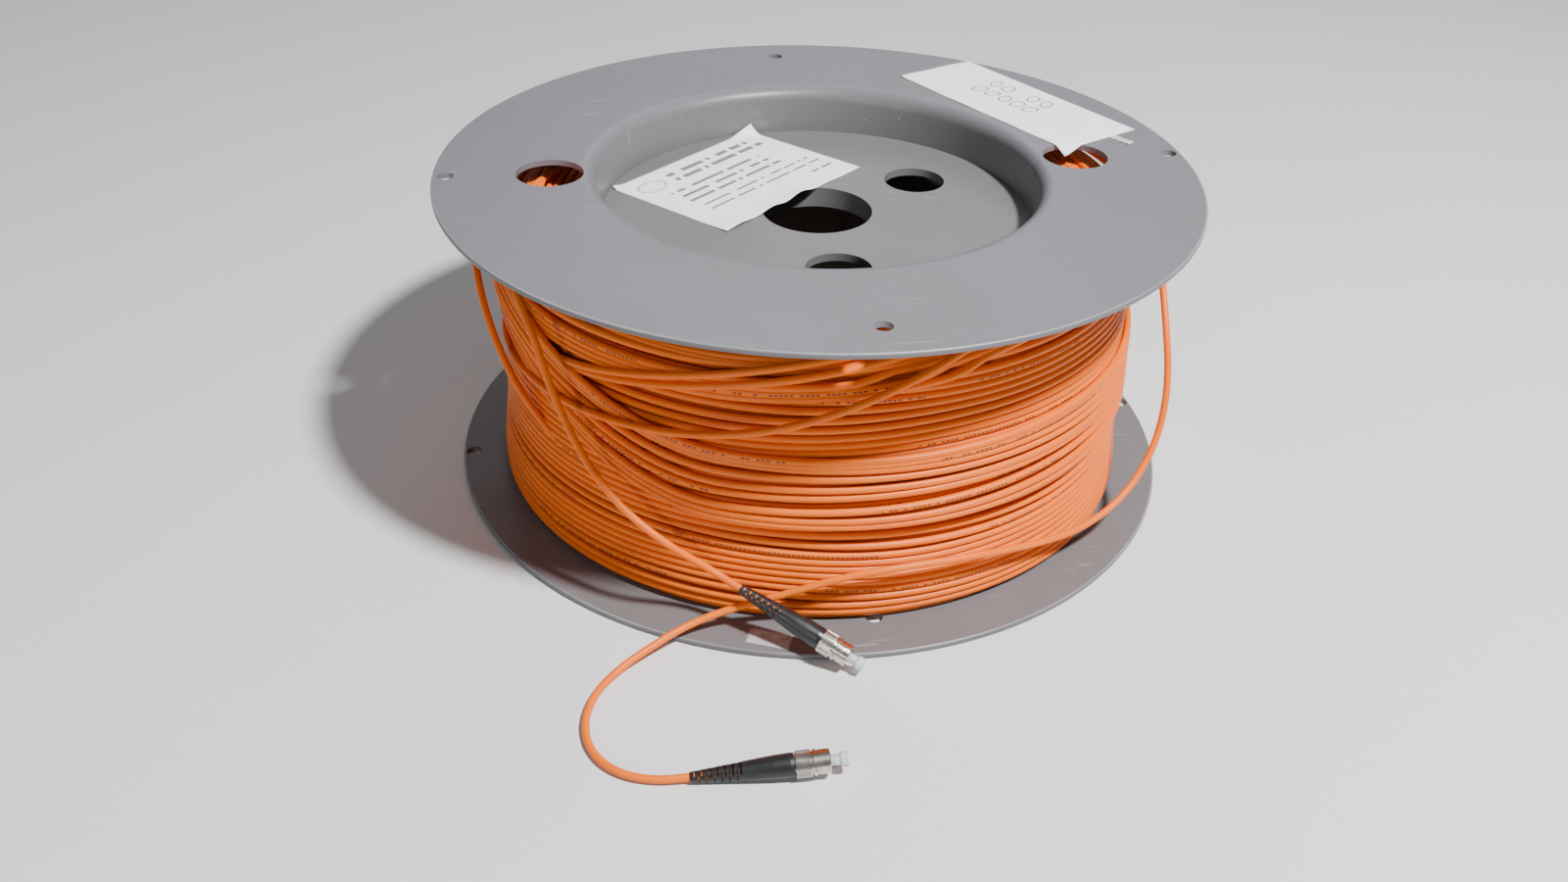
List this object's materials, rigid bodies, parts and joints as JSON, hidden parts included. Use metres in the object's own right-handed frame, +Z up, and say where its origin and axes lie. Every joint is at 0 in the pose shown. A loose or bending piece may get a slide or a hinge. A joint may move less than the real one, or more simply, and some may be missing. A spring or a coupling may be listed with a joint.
{
  "type": "reel-packed fibre patch cord",
  "caption": "Moulded cable reel wound with simplex fibre cable, its two free ends carrying round threaded plugs with boots, coupling nuts and dust caps.",
  "frame": {"origin": "on the reel's axis, at the underside of the lower flange", "axes": "+Z up along the reel's bore; +X through the two round windows of each flange; the plugs lie towards -Y"},
  "size_m": [0.32, 0.3796, 0.134],
  "materials": {
    "reel_plastic": "moulded grey plastic, fine texture",
    "barrel_board": "rolled grey-brown fibreboard",
    "cable_jacket": "smooth satin jacket",
    "label_paper": "matt white paper",
    "clear_tape": "thin clear film",
    "boot_rubber": "satin black rubber",
    "nickel_plate": "bright nickel plate",
    "spring_steel": "drawn steel wire",
    "zirconia": "polished white ceramic",
    "cap_plastic": "milky translucent soft plastic"
  },
  "bodies": {
    "reel": {"top_flange": "reel_plastic", "bottom_flange": "reel_plastic", "barrel": "barrel_board", "cable_pack": "cable_jacket", "printed_label": "label_paper", "paper_tag": "label_paper", "tape_scrap": "clear_tape", "clear_sticker": "clear_tape", "lead_a": "cable_jacket", "lead_b": "cable_jacket", "boot_a": "boot_rubber", "crimp_sleeve_a": "nickel_plate", "rear_body_a": "nickel_plate", "front_body_a": "nickel_plate", "ferrule_spring_a": "spring_steel", "boot_b": "boot_rubber", "crimp_sleeve_b": "nickel_plate", "rear_body_b": "nickel_plate", "front_body_b": "nickel_plate", "ferrule_spring_b": "spring_steel"},
    "plug_a_ring": {"retaining_ring_a": "spring_steel"},
    "plug_a_nut": {"coupling_nut_a": "nickel_plate"},
    "plug_a_ferrule": {"ferrule_holder_a": "nickel_plate", "ferrule_a": "zirconia"},
    "plug_a_cap": {"dust_cap_a": "cap_plastic"},
    "plug_b_ring": {"retaining_ring_b": "spring_steel"},
    "plug_b_nut": {"coupling_nut_b": "nickel_plate"},
    "plug_b_ferrule": {"ferrule_holder_b": "nickel_plate", "ferrule_b": "zirconia"},
    "plug_b_cap": {"dust_cap_b": "cap_plastic"}
  },
  "joints": [
    {"name": "nut_draw_a", "type": "slide", "parent": "reel", "child": "plug_a_ring", "axis": [0.7879, -0.5277, -0.3174], "range_m": [0, 0.002]},
    {"name": "nut_spin_a", "type": "hinge", "parent": "plug_a_ring", "child": "plug_a_nut", "pos_m": [-0.0479, -0.1393, 0.0215], "axis": [0.7879, -0.5277, -0.3174], "continuous": true},
    {"name": "ferrule_push_a", "type": "slide", "parent": "reel", "child": "plug_a_ferrule", "axis": [-0.7879, 0.5277, 0.3174], "range_m": [0, 0.001], "stiffness_N_per_m": 6000, "springref_m": -0.0014, "deforming": ["ferrule_spring_a"]},
    {"name": "cap_pull_a", "type": "slide", "parent": "plug_a_ferrule", "child": "plug_a_cap", "axis": [0.7879, -0.5277, -0.3174], "range_m": [0, 0.006]},
    {"name": "nut_draw_b", "type": "slide", "parent": "reel", "child": "plug_b_ring", "axis": [0.9965, -0.0266, 0.0788], "range_m": [0, 0.002]},
    {"name": "nut_spin_b", "type": "hinge", "parent": "plug_b_ring", "child": "plug_b_nut", "pos_m": [-0.0733, -0.2138, 0.0021], "axis": [0.9965, -0.0266, 0.0788], "continuous": true},
    {"name": "ferrule_push_b", "type": "slide", "parent": "reel", "child": "plug_b_ferrule", "axis": [-0.9965, 0.0266, -0.0788], "range_m": [0, 0.001], "stiffness_N_per_m": 6000, "springref_m": -0.0014, "deforming": ["ferrule_spring_b"]},
    {"name": "cap_pull_b", "type": "slide", "parent": "plug_b_ferrule", "child": "plug_b_cap", "axis": [0.9965, -0.0266, 0.0788], "range_m": [0, 0.006]}
  ]
}
